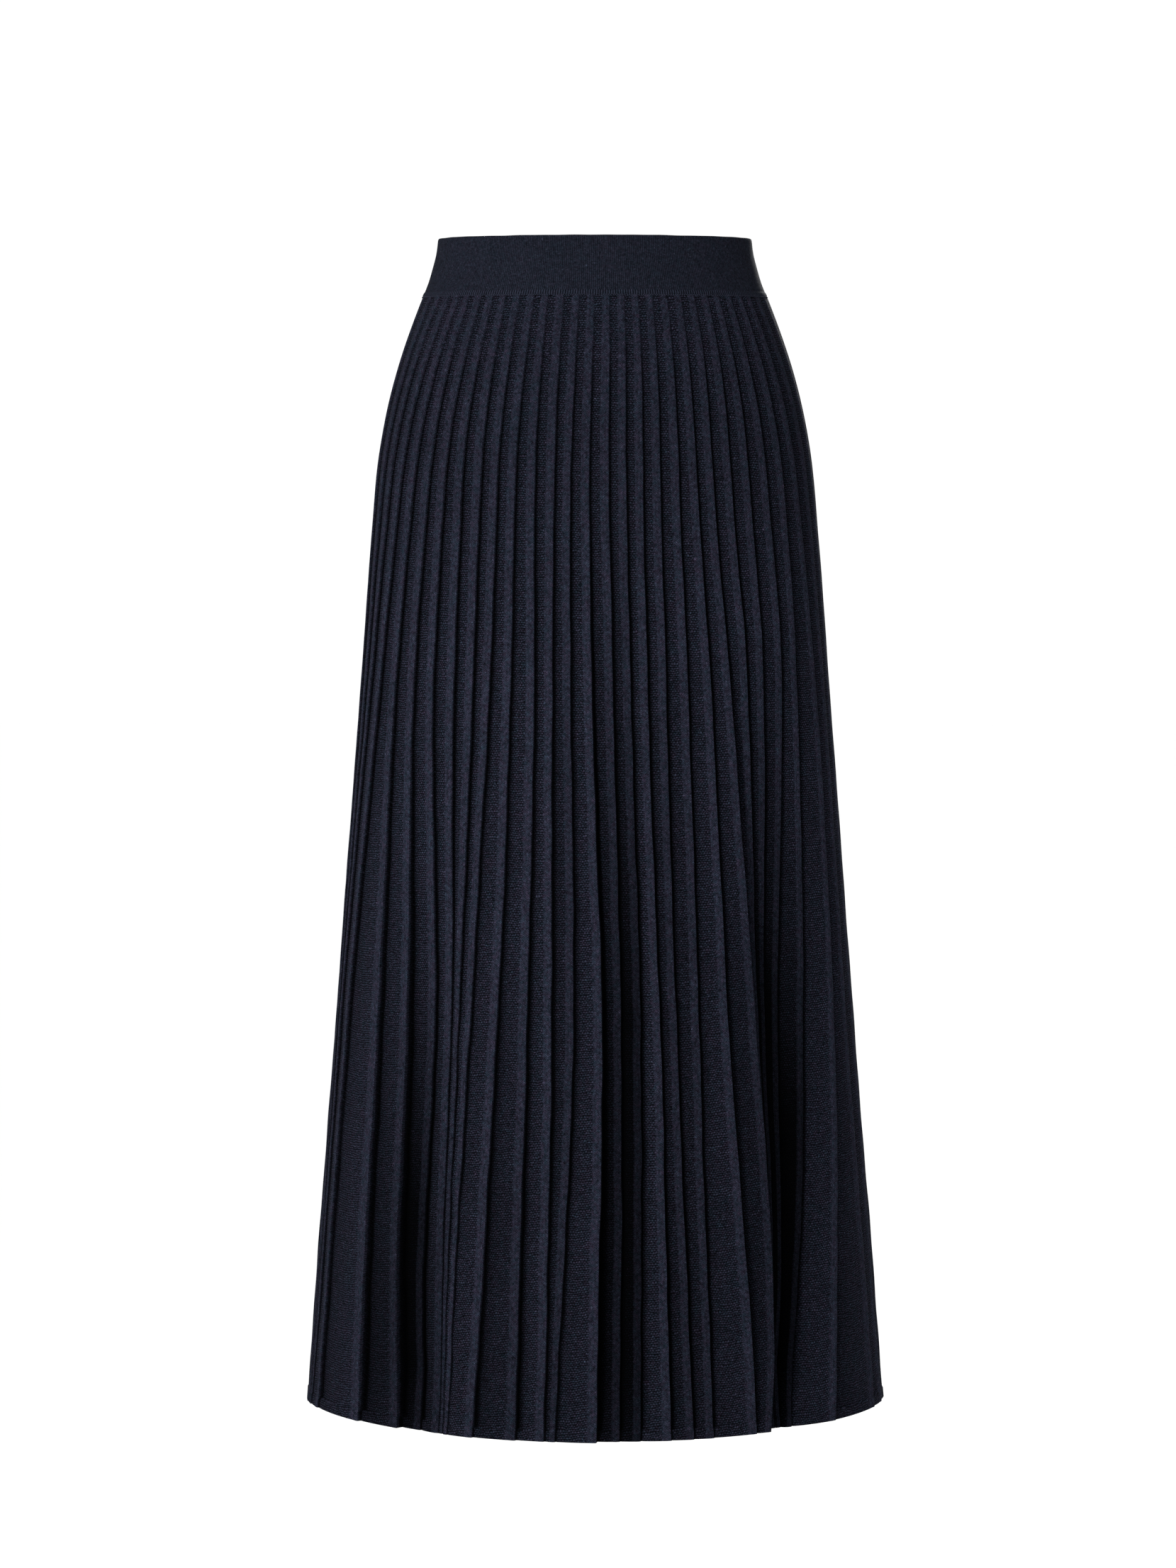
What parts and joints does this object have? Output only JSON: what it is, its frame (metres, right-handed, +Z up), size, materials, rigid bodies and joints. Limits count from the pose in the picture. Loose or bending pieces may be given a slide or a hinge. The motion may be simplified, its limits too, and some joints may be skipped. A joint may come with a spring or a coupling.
{
  "type": "knit a-line skirt",
  "caption": "Hollow worn-form knit skirt with a smooth folded waistband, narrow ribbed pleats that widen to the hem and soft hanging folds.",
  "frame": {"origin": "centre of the waistband, half way up it, where the wearer's waist holds the skirt", "axes": "+Z up out of the waist, the front looks towards -Y, +X to the right as seen from the front"},
  "size_m": [0.4314, 0.3269, 0.862],
  "materials": {
    "fine_jersey": "fine smooth jersey knit, dark navy, matte",
    "rib_knit": "ribbed wool-type knit with raised stocking-stitch columns, dark navy, matte with a faint soft sheen"
  },
  "bodies": {
    "root": {"waistband": "fine_jersey", "front_panel": "rib_knit", "back_panel": "rib_knit"}
  },
  "joints": []
}
